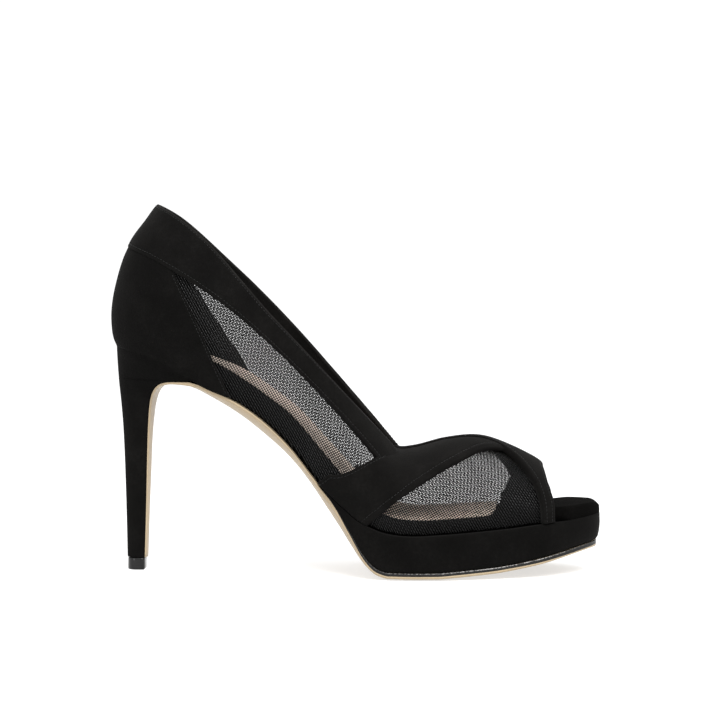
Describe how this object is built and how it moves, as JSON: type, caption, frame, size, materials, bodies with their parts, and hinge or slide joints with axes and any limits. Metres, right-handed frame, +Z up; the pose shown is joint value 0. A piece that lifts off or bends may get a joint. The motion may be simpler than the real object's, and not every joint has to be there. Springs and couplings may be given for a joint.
{
  "type": "platform pump",
  "caption": "Open-toe platform pump with a slender high heel: suede heel counter, collar and crossed straps over net panels, on a suede platform with a pale leather sole.",
  "frame": {"origin": "middle of the shoe's box on the floor, the shoe standing on its sole and heel tip", "axes": "+X towards the toe, +Y towards the inner side of the foot, +Z up"},
  "size_m": [0.2172, 0.0792, 0.1634],
  "materials": {
    "suede": "black suede",
    "net": "fine black net",
    "footbed": "black suede cover",
    "sock": "tan lining leather",
    "platform_suede": "black suede cover",
    "sole_leather": "pale smooth leather with a black edge",
    "heel_suede": "black suede cover",
    "tip": "gloss"
  },
  "bodies": {
    "root": {"upper": "suede", "quarter_mesh_lateral": "net", "quarter_mesh_medial": "net", "vamp_mesh_lateral": "net", "vamp_mesh_medial": "net", "insole": "footbed", "sock": "sock", "platform": "platform_suede", "outsole": "sole_leather", "heel": "heel_suede", "heel_tip": "tip"}
  },
  "joints": []
}
